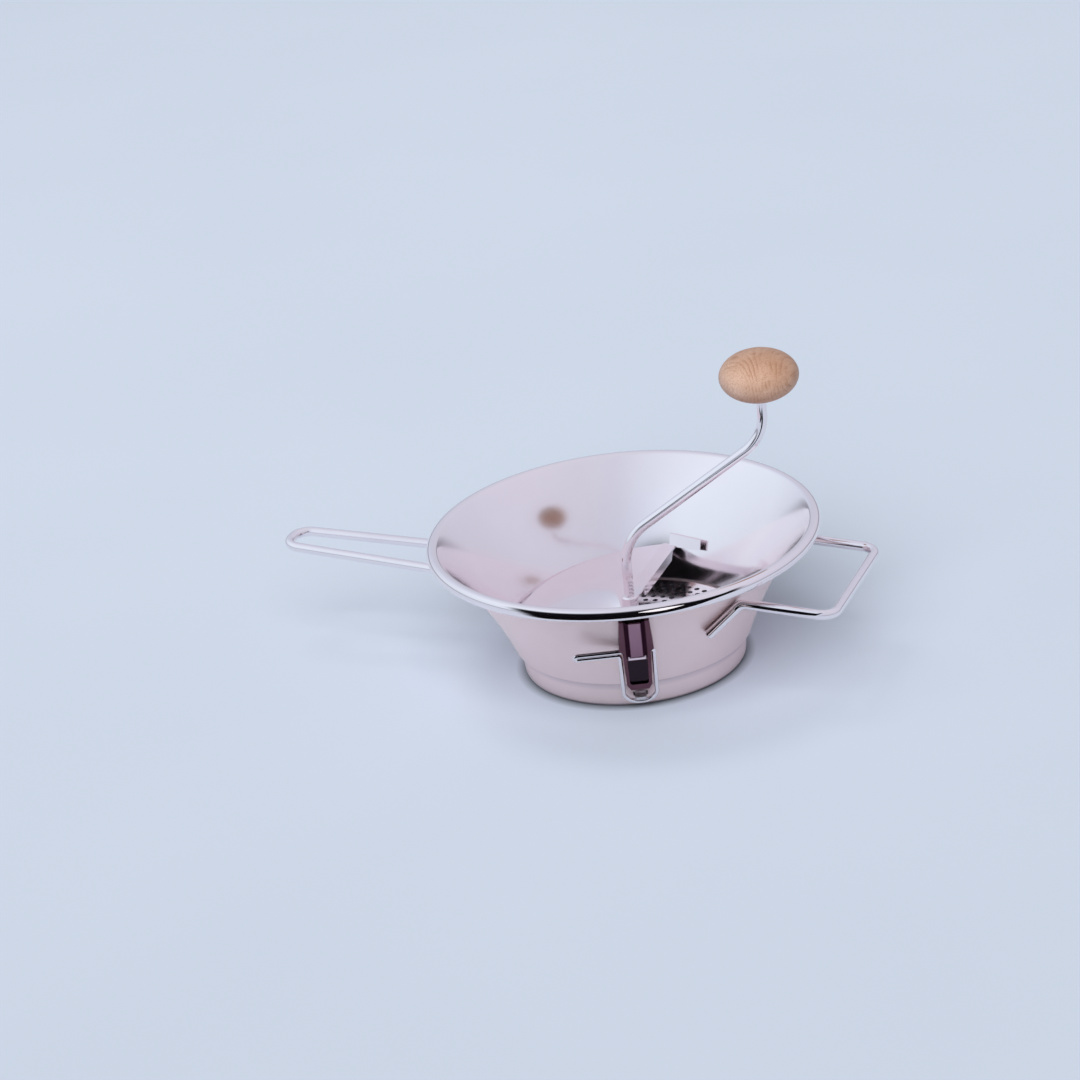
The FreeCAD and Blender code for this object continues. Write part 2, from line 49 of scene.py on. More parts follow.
# ------------------------------------------------------------------ camera
cam_data = bpy.data.cameras.new("main_camera")
cam = bpy.data.objects.new("main_camera", cam_data)
scene.collection.objects.link(cam)
cam_data.sensor_width = 36.0
cam_data.sensor_fit = "HORIZONTAL"
cam_data.lens = 121.1
cam_data.clip_start, cam_data.clip_end = 0.05, 60.0
cam.matrix_world = Matrix((
    (0.929865, -0.054349, 0.363865, 0.75405),
    (0.352642, 0.413553, -0.839415, -1.86634),
    (-0.104856, 0.908856, 0.403714, 0.97280),
    (0, 0, 0, 1)))
scene.camera = cam
scene.view_settings.view_transform = "Standard"


# --------------------------------------------------------------- node helpers
class Tree:
    def __init__(self, name):
        self.mat = bpy.data.materials.new(name)
        self.mat.use_nodes = True
        self.nt = self.mat.node_tree
        self.nt.nodes.clear()
        self.out = self.add("ShaderNodeOutputMaterial")
        self.bsdf = self.add("ShaderNodeBsdfPrincipled")
        self.link(self.bsdf.outputs[0], self.out.inputs[0])

    def add(self, kind, **props):
        n = self.nt.nodes.new(kind)
        for k, v in props.items():
            setattr(n, k, v)
        return n

    def link(self, a, b):
        self.nt.links.new(a, b)

    def coords(self, scale=(1, 1, 1), rot=(0, 0, 0), loc=(0, 0, 0)):
        tc = self.add("ShaderNodeTexCoord")
        mp = self.add("ShaderNodeMapping")
        mp.inputs["Scale"].default_value = scale
        mp.inputs["Rotation"].default_value = rot
        mp.inputs["Location"].default_value = loc
        self.link(tc.outputs["Object"], mp.inputs["Vector"])
        return mp.outputs[0]

    def noise(self, vec, scale, detail=3.0, rough=0.55, distort=0.0):
        n = self.add("ShaderNodeTexNoise")
        n.inputs["Scale"].default_value = scale
        n.inputs["Detail"].default_value = detail
        n.inputs["Roughness"].default_value = rough
        n.inputs["Distortion"].default_value = distort
        self.link(vec, n.inputs["Vector"])
        return n.outputs["Fac"]

    def vec(self, op, a, b=None):
        n = self.add("ShaderNodeVectorMath", operation=op)
        for i, x in enumerate((a, b)):
            if x is None:
                continue
            if isinstance(x, tuple):
                n.inputs[i].default_value = x
            else:
                self.link(x, n.inputs[i])
        return n.outputs["Value"] if op in ("LENGTH", "DOT_PRODUCT") else n.outputs[0]

    def split(self, vec):
        n = self.add("ShaderNodeSeparateXYZ")
        self.link(vec, n.inputs[0])
        return n.outputs[0], n.outputs[1], n.outputs[2]

    def join(self, x, y, z):
        n = self.add("ShaderNodeCombineXYZ")
        for i, v in enumerate((x, y, z)):
            if isinstance(v, (int, float)):
                n.inputs[i].default_value = v
            else:
                self.link(v, n.inputs[i])
        return n.outputs[0]

    def math(self, op, a, b=None):
        n = self.add("ShaderNodeMath", operation=op)
        for i, x in enumerate((a, b)):
            if x is None:
                continue
            if isinstance(x, (int, float)):
                n.inputs[i].default_value = x
            else:
                self.link(x, n.inputs[i])
        return n.outputs[0]

    def ramp(self, fac, stops):
        n = self.add("ShaderNodeValToRGB")
        els = n.color_ramp.elements
        while len(els) < len(stops):
            els.new(0.5)
        for e, (p, c) in zip(els, stops):
            e.position = p
            e.color = (c[0], c[1], c[2], 1.0)
        self.link(fac, n.inputs[0])
        return n.outputs[0]

    def span(self, fac, lo, hi, a=0.0, b=1.0):
        n = self.add("ShaderNodeMapRange")
        n.inputs["From Min"].default_value = a
        n.inputs["From Max"].default_value = b
        n.inputs["To Min"].default_value = lo
        n.inputs["To Max"].default_value = hi
        self.link(fac, n.inputs["Value"])
        return n.outputs[0]

    def mix(self, fac, a, b, blend="MIX"):
        n = self.add("ShaderNodeMix", data_type="RGBA", blend_type=blend)
        for sock, x in ((n.inputs[0], fac), (n.inputs[6], a), (n.inputs[7], b)):
            if isinstance(x, (int, float)):
                sock.default_value = x
            elif isinstance(x, tuple):
                sock.default_value = (x[0], x[1], x[2], 1.0)
            else:
                self.link(x, sock)
        return n.outputs[2]

    def bump(self, height, strength, distance, before=None):
        n = self.add("ShaderNodeBump")
        n.inputs["Strength"].default_value = strength
        n.inputs["Distance"].default_value = distance
        self.link(height, n.inputs["Height"])
        if before is not None:
            self.link(before, n.inputs["Normal"])
        return n.outputs[0]


# ------------------------------------------- the bowl's section, millimetres (r, z)
SHEET_T = 0.8
RIM_R, RIM_Z, CURL_R, CURL_END = 116.0, 83.7, 4.0, -146.0
HEM_IN, BASE_R, SKIRT_TOP_R = 63.4, 67.55, 69.2
LEDGE_Z, LEDGE_OUT_R, WALL_LEAN = 17.0, 72.3, math.radians(21.0)
FRONT_AZ = -67.6


def corner_track(pts, radii):
    """Chain of tangent lines and arcs through pts."""
    out, last = [], pts[0]
    for i in range(1, len(pts) - 1):
        p, a, b = pts[i], pts[i - 1], pts[i + 1]
        u, w = Vector(a) - Vector(p), Vector(b) - Vector(p)
        u.normalize(), w.normalize()
        half = math.acos(max(-1, min(1, u.dot(w)))) / 2
        r = radii[i - 1]
        d = r / math.tan(half)
        s, e = Vector(p) + u * d, Vector(p) + w * d
        c = Vector(p) + (u + w).normalized() * (r / math.sin(half))
        out.append(("L", last, tuple(s)))
        a0, a1 = math.atan2(s.y - c.y, s.x - c.x), math.atan2(e.y - c.y, e.x - c.x)
        while a1 - a0 > math.pi:
            a1 -= 2 * math.pi
        while a1 - a0 < -math.pi:
            a1 += 2 * math.pi
        out.append(("A", tuple(c), r, a0, a1))
        last = tuple(e)
    out.append(("L", last, pts[-1]))
    return out


corner = (LEDGE_OUT_R, LEDGE_Z)
wall0 = (corner[0] + 2.2 * math.sin(WALL_LEAN), corner[1] + 2.2 * math.cos(WALL_LEAN))
mid_curl = CURL_R - SHEET_T / 2
n0 = (math.cos(WALL_LEAN), -math.sin(WALL_LEAN))
wx, wz = wall0[0] - RIM_R, wall0[1] - RIM_Z
WALL_RAD = (mid_curl ** 2 - wx * wx - wz * wz) / (2 * (wx * n0[0] + wz * n0[1]) + 2 * mid_curl)
WC = (wall0[0] + WALL_RAD * n0[0], wall0[1] + WALL_RAD * n0[1])
a_t = math.atan2(RIM_Z - WC[1], RIM_R - WC[0])
a_0 = math.atan2(wall0[1] - WC[1], wall0[0] - WC[0])
while a_0 < a_t:
    a_0 += 2 * math.pi
track = corner_track([(HEM_IN, SHEET_T / 2), (BASE_R, SHEET_T / 2), (SKIRT_TOP_R, LEDGE_Z), corner, wall0],
                     [2.3, 0.9, 0.9])
track.append(("A", WC, WALL_RAD, a_0, a_t))
track.append(("A", (RIM_R, RIM_Z), mid_curl, a_t, math.radians(CURL_END)))


def sampled(seg, d):
    """Points of one element of the section, moved d to its left."""
    if seg[0] == "L":
        (x0, y0), (x1, y1) = seg[1], seg[2]
        l = math.hypot(x1 - x0, y1 - y0)
        nx, ny = -(y1 - y0) / l * d, (x1 - x0) / l * d
        k = max(1, int(l / 3.0))
        return [(x0 + (x1 - x0) * i / k + nx, y0 + (y1 - y0) * i / k + ny) for i in range(k + 1)]
    c, r, a0, a1 = seg[1:]
    rr = r + d if a1 < a0 else r - d
    k = max(4, int(abs(a1 - a0) / math.radians(7)), int(abs(a1 - a0) * r / 2.5))
    return [(c[0] + rr * math.cos(a0 + (a1 - a0) * i / k), c[1] + rr * math.sin(a0 + (a1 - a0) * i / k))
            for i in range(k + 1)]


def wall_out(z):
    q = WALL_RAD - SHEET_T / 2
    r = WC[0] - math.sqrt(q * q - (z - WC[1]) ** 2)
    return r, ((WC[0] - r) / q, (WC[1] - z) / q)


def linked(name, mesh):
    o = bpy.data.objects.new(name, mesh)
    scene.collection.objects.link(o)
    return o


def smooth(o, split=None):
    for p in o.data.polygons:
        p.use_smooth = True
    if split:
        e = o.modifiers.new("edges", "EDGE_SPLIT")
        e.split_angle = math.radians(split)


def bowl_shell(name, turns=288):
    loop = []
    for side in (1, -1):
        pts = [p for s in track for p in sampled(s, side * SHEET_T / 2)]
        loop += pts if side == 1 else list(reversed(pts))
    section = [loop[0]]
    for p in loop[1:]:
        if math.dist(p, section[-1]) > 1e-4:
            section.append(p)
    bm = bmesh.new()
    grid = []
    for i in range(turns):
        a = 2 * math.pi * i / turns
        grid.append([bm.verts.new((r * math.cos(a) / 1000, r * math.sin(a) / 1000, z / 1000)) for r, z in section])
    m = len(section)
    for i in range(turns):
        p, q = grid[i], grid[(i + 1) % turns]
        for j in range(m):
            k = (j + 1) % m
            bm.faces.new((p[j], q[j], q[k], p[k]))
    bmesh.ops.recalc_face_normals(bm, faces=bm.faces)
    me = bpy.data.meshes.new(name)
    bm.to_mesh(me)
    bm.free()
    shell = linked(name, me)
    # slots in the skirt for the crossbar's two tongues
    bm = bmesh.new()
    for az in (FRONT_AZ, FRONT_AZ + 180):
        made = bmesh.ops.create_cube(bm, size=1.0)["verts"]
        bmesh.ops.scale(bm, vec=(0.014, 0.0086, 0.003), verts=made)
        bmesh.ops.translate(bm, vec=(0.067, 0, 0.0084), verts=made)
        bmesh.ops.rotate(bm, cent=(0, 0, 0), matrix=Matrix.Rotation(math.radians(az), 3, "Z"), verts=made)
    cm = bpy.data.meshes.new("slot_cutter")
    bm.to_mesh(cm)
    bm.free()
    cutter = linked("slot_cutter", cm)
    b = shell.modifiers.new("slots", "BOOLEAN")
    b.object, b.operation, b.solver = cutter, "DIFFERENCE", "EXACT"
    dg = bpy.context.evaluated_depsgraph_get()
    cut = bpy.data.meshes.new_from_object(shell.evaluated_get(dg))
    shell.modifiers.clear()
    shell.data = cut
    bpy.data.objects.remove(cutter)
    smooth(shell, 30)
    return shell


def wire_mesh(name, pts, radii, r, turn=0.0, around=36, step=4.0, cap=0.55):
    """Round wire bent through pts (millimetres) with the given bend radii and softly domed ends."""
    pts = [Vector(p) for p in pts]
    line, last = [], pts[0]
    first = (pts[1] - pts[0]).normalized()
    line.append((pts[0] + first * (cap * r), first))
    for i in range(1, len(pts) - 1):
        p = pts[i]
        u, w = (pts[i - 1] - p).normalized(), (pts[i + 1] - p).normalized()
        half = math.acos(max(-1, min(1, u.dot(w)))) / 2
        rad = radii[i - 1]
        d = rad / math.tan(half)
        s, m = p + u * d, (u + w).normalized()
        c = p + m * (rad / math.sin(half))
        spin = u.cross(w).normalized()
        swing = math.pi - 2 * half
        k = max(6, int(math.degrees(swing) / step))
        if (s - line[-1][0]).length > 1e-3:
            line.append((s, -u))
        for j in range(1, k + 1):
            rot = Matrix.Rotation(-swing * j / k, 3, spin)
            line.append((c + rot @ (s - c), rot @ -u))
        last = line[-1][0]
    final = (pts[-1] - pts[-2]).normalized()
    line.append((pts[-1] - final * (cap * r), final))
    return swept(name, line, r, turn, around, cap)


def swept(name, line, r, turn=0.0, around=36, cap=0.55):
    """Round wire along a line of points and directions, closed by a soft dome at each end."""
    rings, side = [], None
    for i, (p, t) in enumerate(line):
        if side is None:
            side = t.orthogonal().normalized()
        else:
            side = line[i - 1][1].rotation_difference(t) @ side
            side = (side - t * side.dot(t)).normalized()
        rings.append((p, t, side, r))
    caps = [math.radians(a) for a in (12, 30, 48, 64, 78)]
    p, t, s, _ = rings[0]
    head = [(p - t * (cap * r * math.cos(a)), t, s, r * math.sin(a)) for a in caps]
    p, t, s, _ = rings[-1]
    tail = [(p + t * (cap * r * math.cos(a)), t, s, r * math.sin(a)) for a in reversed(caps)]
    bm = bmesh.new()
    grid = []
    for p, t, s, rr in head + rings + tail:
        v = t.cross(s)
        grid.append([bm.verts.new((p + (s * math.cos(2 * math.pi * j / around) + v * math.sin(2 * math.pi * j / around)) * rr)
                                  / 1000) for j in range(around)])
    for a, b in zip(grid, grid[1:]):
        for j in range(around):
            k = (j + 1) % around
            bm.faces.new((a[j], a[k], b[k], b[j]))
    (p0, t0), (p1, t1) = line[0], line[-1]
    for poles, pt in ((grid[0], p0 - t0 * (cap * r)), (grid[-1], p1 + t1 * (cap * r))):
        top = bm.verts.new(pt / 1000)
        for j in range(around):
            bm.faces.new((poles[j], poles[(j + 1) % around], top))
    bmesh.ops.rotate(bm, cent=(0, 0, 0), matrix=Matrix.Rotation(math.radians(turn), 3, "Z"), verts=bm.verts)
    bmesh.ops.recalc_face_normals(bm, faces=bm.faces)
    me = bpy.data.meshes.new(name)
    bm.to_mesh(me)
    bm.free()
    o = linked(name, me)
    smooth(o)
    return o


# -------------------------------------------------------------- materials
def steel(name, tint_a, tint_b, rough, spread, lines=0.0, brush="round", paint=None, gloss=None):
    """Bright stainless: cloudy tint, hazy patches and the fine lines that polishing leaves."""
    t = Tree(name)
    base = t.coords()
    cloud = t.noise(base, 26.0, 4.0, 0.6)
    colour = t.ramp(cloud, [(0.32, tint_a), (0.68, tint_b)])
    t.bsdf.inputs["Metallic"].default_value = 1.0
    smear = t.noise(t.coords((1, 1, 2.2)), 60.0, 5.0, 0.62, 0.6)
    if brush == "round":
        # rings about the part's axis: radius and height only
        r = t.vec("LENGTH", t.vec("MULTIPLY", base, (1, 1, 0)))
        fine = t.noise(t.join(r, t.split(base)[2], t.math("MULTIPLY", smear, 0.0008)), 2600.0, 2.0, 0.7)
    elif brush == "strap":
        # straight brushing along the strap's length
        fine = t.noise(t.coords((140, 5200, 5200), (0, 0, -math.radians(FRONT_AZ))), 1.0, 3.0, 0.65)
    else:
        fine = t.noise(t.coords((900, 900, 900)), 1.0, 2.0, 0.7)
    if paint is not None:
        colour = paint(t, colour)
    t.link(colour, t.bsdf.inputs["Base Color"])
    haze = t.math("ADD", t.math("MULTIPLY", smear, 0.75), t.math("MULTIPLY", fine, 0.25))
    shine = t.span(haze, rough - spread, rough + spread, 0.3, 0.7)
    if gloss is not None:
        shine = t.math("MULTIPLY", shine, gloss(t))
    t.link(shine, t.bsdf.inputs["Roughness"])
    if lines:
        t.link(t.bump(fine, lines, 0.00002), t.bsdf.inputs["Normal"])
    return t.mat


def beech(name, centre, axis):
    """Turned beech: growth rings round a slanted heart line, fine fibres, pores and ray flecks, thin varnish."""
    t = Tree(name)
    base = t.coords()
    rel = t.vec("SUBTRACT", base, centre)
    off = t.vec("CROSS_PRODUCT", rel, axis)
    dist = t.vec("LENGTH", off)
    along = t.vec("DOT_PRODUCT", rel, axis)
    ox, oy, oz = t.split(off)
    warp = t.noise(base, 48.0, 1.5, 0.5)
    slow = t.noise(base, 34.0, 2.0, 0.5)
    fade = t.noise(t.coords((1, 1, 1), (0.4, 0.2, 0.1), (0.3, 0.1, 0.2)), 120.0, 2.0, 0.55)
    fibre = t.noise(t.join(t.math("MULTIPLY", ox, 1300.0), t.math("MULTIPLY", oz, 1300.0),
                           t.math("MULTIPLY", along, 70.0)), 1.0, 4.0, 0.6)
    pore = t.noise(t.join(t.math("MULTIPLY", ox, 2600.0), t.math("MULTIPLY", oz, 2600.0),
                          t.math("MULTIPLY", along, 320.0)), 1.0, 2.0, 0.5)
    fleck = t.noise(t.coords((1500, 1500, 360), (0.45, 0.30, 0.0)), 1.0, 2.0, 0.5)
    grow = t.math("POWER", t.math("MULTIPLY", dist, 1 / 0.024), 1.2)
    rings = t.math("ADD", t.math("MULTIPLY", grow, 12.0), t.math("MULTIPLY", warp, 2.2))
    rings = t.math("ADD", rings, t.math("MULTIPLY", fibre, 0.5))
    late = t.math("POWER", t.math("FRACT", rings), 1.8)
    late = t.math("MULTIPLY", late, t.span(fade, 0.05, 1.0, 0.40, 0.60))
    late = t.math("MULTIPLY", late, t.span(dist, 0.15, 1.0, 0.006, 0.018))
    wood = t.ramp(slow, [(0.36, (0.77, 0.535, 0.425)), (0.66, (0.59, 0.365, 0.255))])
    wood = t.mix(t.span(dist, 0.0, 0.75, 0.010, 0.026), wood, (0.52, 0.29, 0.185))
    wood = t.mix(t.math("MULTIPLY", late, 0.95), wood, (0.36, 0.16, 0.08))
    # the knob's lower half is browner, fading out between 166 and 174 mm up
    high = t.split(base)[2]
    wood = t.mix(t.span(high, 0.85, 0.0, 0.1660, 0.1738), wood, (0.60, 0.29, 0.165))
    wood = t.mix(t.span(fibre, 0.0, 0.75, 0.47, 0.74), wood, (0.42, 0.21, 0.115))
    wood = t.mix(t.span(pore, 0.0, 0.40, 0.62, 0.74), wood, (0.33, 0.16, 0.085))
    wood = t.mix(t.span(fleck, 0.0, 0.60, 0.58, 0.72), wood, (0.36, 0.17, 0.09))
    t.link(wood, t.bsdf.inputs["Base Color"])
    t.link(t.span(fibre, 0.40, 0.58), t.bsdf.inputs["Roughness"])
    t.bsdf.inputs["Coat Weight"].default_value = 0.15
    t.bsdf.inputs["Coat Roughness"].default_value = 0.3
    t.link(t.bump(t.math("ADD", fibre, t.math("ADD", pore, fleck)), 0.2, 0.00012), t.bsdf.inputs["Normal"])
    return t.mat


# bracket's own frame: x down its slope, y across, z out of its face
F_AZ = math.radians(FRONT_AZ)
TOP, LOW = (0.110, 0.075), (0.077, 0.015)
_l = math.hypot(TOP[0] - LOW[0], TOP[1] - LOW[1])
_ds = ((LOW[0] - TOP[0]) / _l, (LOW[1] - TOP[1]) / _l)
_ns = (-_ds[1], _ds[0])
_radial = Vector((math.cos(F_AZ), math.sin(F_AZ), 0))
DOWN = _radial * _ds[0] + Vector((0, 0, _ds[1]))
FACE = _radial * _ns[0] + Vector((0, 0, _ns[1]))
ACROSS = FACE.cross(DOWN)
PLATE_TOP = _radial * TOP[0] + Vector((0, 0, TOP[1]))


def pressed_plate(t, colour):
    # painted shade and highlights: the pocket's floor and the grooves beside the rib are painted blacker as shade,
    # the rib's top is painted lighter as a reflection, and the rib's raked end is painted bright as a highlight
    rel = t.vec("SUBTRACT", t.coords(), tuple(PLATE_TOP))
    depth = t.vec("DOT_PRODUCT", rel, tuple(FACE))
    along = t.vec("DOT_PRODUCT", rel, tuple(DOWN))
    out = t.math("ABSOLUTE", t.vec("DOT_PRODUCT", rel, tuple(ACROSS)))
    # painted shade on the pocket's floor
    low = t.span(depth, 1.0, 0.0, -0.0012, -0.0004)
    pocket_shade = t.math("MULTIPLY", low, t.span(along, 0.0, 1.0, 0.0372, 0.0386))
    pocket_shade = t.math("MULTIPLY", pocket_shade, t.span(along, 1.0, 0.0, 0.0628, 0.0642))
    pocket_shade = t.math("MULTIPLY", pocket_shade, t.span(out, 1.0, 0.0, 0.0060, 0.0066))
    colour = t.mix(pocket_shade, colour, (0.034, 0.025, 0.032))
    # painted shade in the grooves beside the rib
    groove_shade = t.math("MULTIPLY", t.span(out, 0.0, 1.0, 0.0034, 0.0038), t.span(out, 1.0, 0.0, 0.0060, 0.0066))
    groove_shade = t.math("MULTIPLY", groove_shade, t.span(along, 1.0, 0.0, 0.0355, 0.0372))
    colour = t.mix(groove_shade, colour, (0.022, 0.009, 0.015))
    # painted reflection: the rib's top is painted a lighter plum
    crest_highlight = t.math("MULTIPLY", t.span(out, 1.0, 0.0, 0.0032, 0.0037), t.span(depth, 0.0, 1.0, 0.0010, 0.0014))
    colour = t.mix(t.math("MULTIPLY", crest_highlight, 0.8), colour, (0.44, 0.27, 0.345))
    # painted highlight: a bright bar on the rib's raked end
    rake_highlight = t.math("MULTIPLY", t.span(along, 0.0, 1.0, 0.0336, 0.0340), t.span(along, 1.0, 0.0, 0.0377, 0.0380))
    rake_highlight = t.math("MULTIPLY", rake_highlight, t.span(out, 1.0, 0.0, 0.0048, 0.0054))
    return t.mix(rake_highlight, colour, (1.0, 0.86, 0.90))


def bowl_parts(t):
    base = t.coords()
    r, z = t.vec("LENGTH", t.vec("MULTIPLY", base, (1, 1, 0))), t.split(base)[2]
    rim = t.span(r, 0.0, 1.0, 0.1095, 0.1125)
    d = t.vec("LENGTH", t.vec("SUBTRACT", t.join(r, z, 0.0), (WC[0] / 1000, WC[1] / 1000, 0.0)))
    inside = t.math("MULTIPLY", t.span(d, 0.0, 1.0, WALL_RAD / 1000 - 1e-4, WALL_RAD / 1000 + 1e-4),
                    t.span(z, 0.0, 1.0, 0.018, 0.020))
    return r, z, rim, inside


def bowl_gloss(t):
    # drawn satin outside, polished inside, the rolled rim worn brightest
    r, z, rim, inside = bowl_parts(t)
    g = t.span(inside, 1.0, 0.296)
    return t.math("ADD", t.math("MULTIPLY", g, t.span(rim, 1.0, 0.0)), t.math("MULTIPLY", rim, 0.13))


def bowl_paint(t, colour):
    # painted shade: the colour is darkened in the inside corner under the ledge and along the bottom edge, as the
    # shade that falls there
    r, z, rim, inside = bowl_parts(t)
    colour = t.mix(t.math("MULTIPLY", t.span(inside, 1.0, 0.0), t.span(rim, 1.0, 0.0)), colour,
                   t.mix(1.0, colour, (1.03, 0.908, 0.873), "MULTIPLY"))
    # painted shade in the inside corner under the ledge
    crease_shade = t.math("MULTIPLY", t.span(z, 0.0, 1.0, 0.0112, 0.0162), t.span(z, 1.0, 0.0, 0.0166, 0.0176))
    colour = t.mix(t.math("MULTIPLY", crease_shade, 0.75), colour, (0.60, 0.50, 0.545))
    # painted contact shade along the bottom edge of the base
    hem_shade = t.span(z, 0.85, 0.0, 0.0003, 0.0024)
    return t.mix(hem_shade, colour, (0.20, 0.17, 0.19))


BOWL = steel("polished_bowl", (0.945, 0.875, 0.895), (0.965, 0.90, 0.92), 0.46, 0.03, 0.012, "round", bowl_paint, bowl_gloss)
SHEET = steel("polished_sheet", (0.88, 0.80, 0.83), (0.92, 0.84, 0.87), 0.12, 0.04, 0.05, "round")
WIRE = steel("bright_wire", (0.91, 0.85, 0.88), (0.94, 0.885, 0.91), 0.08, 0.025, 0.02, "fine")
SATIN = steel("satin_steel", (0.64, 0.61, 0.63), (0.70, 0.67, 0.69), 0.27, 0.05, 0.10, "strap")
SPRING = steel("spring_wire", (0.55, 0.54, 0.56), (0.66, 0.65, 0.67), 0.20, 0.05, 0.06, "fine")
# painted reflection: the bracket's almost black plum base colour stands for its steel mirroring dark surroundings
DARK = steel("bracket_painted_dark", (0.125, 0.058, 0.077), (0.165, 0.078, 0.103), 0.20, 0.05, 0.05, "fine", pressed_plate)
DARK.node_tree.nodes["Principled BSDF"].inputs["Specular Tint"].default_value = (0.60, 0.50, 0.55, 1)
WOOD = beech("beech_knob", (0.0759, 0.0250, 0.1735), (-0.164, -0.974, 0.152))

finish = {
    "bowl": BOWL, "sieve_disc": SHEET, "disc_eyelet": SHEET, "long_handle": WIRE, "rest_loop": WIRE,
    "front_bracket": DARK, "latch_bail": WIRE, "crossbar": SATIN, "crossbar_bush": SATIN,
    "rear_keeper": SHEET, "spring_seat": SATIN, "pressure_spring": SPRING, "spring_washer": SATIN,
    "crank_rod": WIRE, "blade_collar": SHEET, "collar_pin": SATIN, "axle_clip": SPRING,
    "presser_blade": SHEET, "knob": WOOD, "knob_sleeve": SATIN, "knob_snap_ring": SPRING,
}
for name, mat in finish.items():
    o = nodes[name]
    o.data.materials.clear()
    o.data.materials.append(mat)
    for p in o.data.polygons:
        p.use_smooth = True
    w = o.modifiers.new("weld", "WELD")
    w.merge_threshold = 1e-6
    e = o.modifiers.new("edges", "EDGE_SPLIT")
    e.split_angle = math.radians(28)


# ------------------------------------- finer meshes of the drawn bowl and bent wires
def foot(z, h, wr, gap):
    ro, (nr, nz) = wall_out(z)
    rr = ro + (wr + gap) * nr
    return (math.sqrt(rr * rr - h * h), h, z + (wr + gap) * nz)


def pair(half):
    return half + [(x, -y, z) for x, y, z in reversed(half)]


def stands_for(piece, node, body, mat):
    piece.data.materials.clear()
    piece.data.materials.append(mat)
    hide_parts(node)
    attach(piece, body)


stands_for(bowl_shell("bowl_shell"), "bowl", "mill_body", BOWL)

half = [foot(27.0, 18.4, 3.0, 0.05), foot(59.0, 18.4, 3.0, 0.05), (223.6, 11.6, 66.7)]
stands_for(wire_mesh("handle_wire", pair(half), [9.0, 10.2, 10.2, 9.0], 3.0, 180.0),
           "long_handle", "mill_body", WIRE)
half = [foot(47.5, 57.0, 3.0, 0.25), foot(66.4, 48.0, 3.0, 0.25), (145.0, 48.0, 59.7)]
stands_for(wire_mesh("loop_wire", pair(half), [7.0, 9.5, 9.5, 7.0], 3.0),
           "rest_loop", "mill_body", WIRE)

hinge = ((TOP[0] + _ds[0] * 0.0332 - _ns[0] * 0.0035) * 1000, (TOP[1] + _ds[1] * 0.0332 - _ns[1] * 0.0035) * 1000)
drop = math.hypot(72.2 - hinge[0], 5.2 - hinge[1])
db = ((72.2 - hinge[0]) / drop, (5.2 - hinge[1]) / drop)
bail = [(hinge[0] + db[0] * w, v, hinge[1] + db[1] * w) for v, w in (
    (-5.2, 0), (-36.3, 0), (-36.3, 3.2), (-10.0, 3.2), (-10.0, drop), (10.0, drop), (10.0, 0), (5.2, 0))]
stands_for(wire_mesh("bail_wire", bail, [1.59, 1.59, 2.6, 9.2, 9.2, 1.7], 1.35, FRONT_AZ, 28, 5.0),
           "latch_bail", "latch", WIRE)

stands_for(wire_mesh("crank_bar", [(0, 0, 1.2), (0, 0, 78.5), (90.0, 0, 136.4), (90.0, 0, 180.8)], [30.0, 27.0], 3.1,
                     21.3, 40, 2.0, 0.3), "crank_rod", "crank", WIRE)

# coil spring between its seat and the washer that rises with the axle
COIL_R, COIL_W, COIL_LO, COIL_HI, COIL_TURNS = 6.6, 0.5, 6.16, 11.44, 3.0
rise = (COIL_HI - COIL_LO) / (2 * math.pi * COIL_TURNS)
line, skip = [], 0.55 * COIL_W / COIL_R
for i in range(181):
    a = skip + (2 * math.pi * COIL_TURNS - 2 * skip) * i / 180
    line.append((Vector((COIL_R * math.cos(a), COIL_R * math.sin(a), COIL_LO + rise * a)),
                 Vector((-COIL_R * math.sin(a), COIL_R * math.cos(a), rise)).normalized()))
coil = swept("spring_coil", line, COIL_W, 0.0, 20)
stands_for(coil, "pressure_spring", "mill_body", SPRING)
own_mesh(coil)

# ------------------------------------------------------------------- stage
floor_mesh = bpy.data.meshes.new("floor")
bm = bmesh.new()
bmesh.ops.create_grid(bm, x_segments=8, y_segments=8, size=14.0)
bm.to_mesh(floor_mesh)
bm.free()
floor = linked("floor", floor_mesh)
floor.location = (0, 0, -0.0002)
ft = Tree("pale_floor")
fn = ft.noise(ft.coords(), 3.0, 3.0, 0.5)
tone = ft.ramp(fn, [(0.3, (0.68, 0.755, 0.88)), (0.7, (0.70, 0.775, 0.90))])
# painted contact shadow: the floor's colour is darkened in a ring hugging the base ring's rounded edge
contact_shadow = ft.span(ft.vec("LENGTH", ft.vec("MULTIPLY", ft.coords(), (1, 1, 0))), 0.75, 0.0, 0.0672, 0.0742)
ft.link(ft.mix(contact_shadow, tone, (0.12, 0.13, 0.16)), ft.bsdf.inputs["Base Color"])
ft.bsdf.inputs["Roughness"].default_value = 0.8
ft.bsdf.inputs["Specular IOR Level"].default_value = 0.1
floor_mesh.materials.append(ft.mat)


def reflected_only(o):
    o.visible_camera = o.visible_diffuse = o.visible_shadow = False
    o.visible_transmission = o.visible_volume_scatter = False


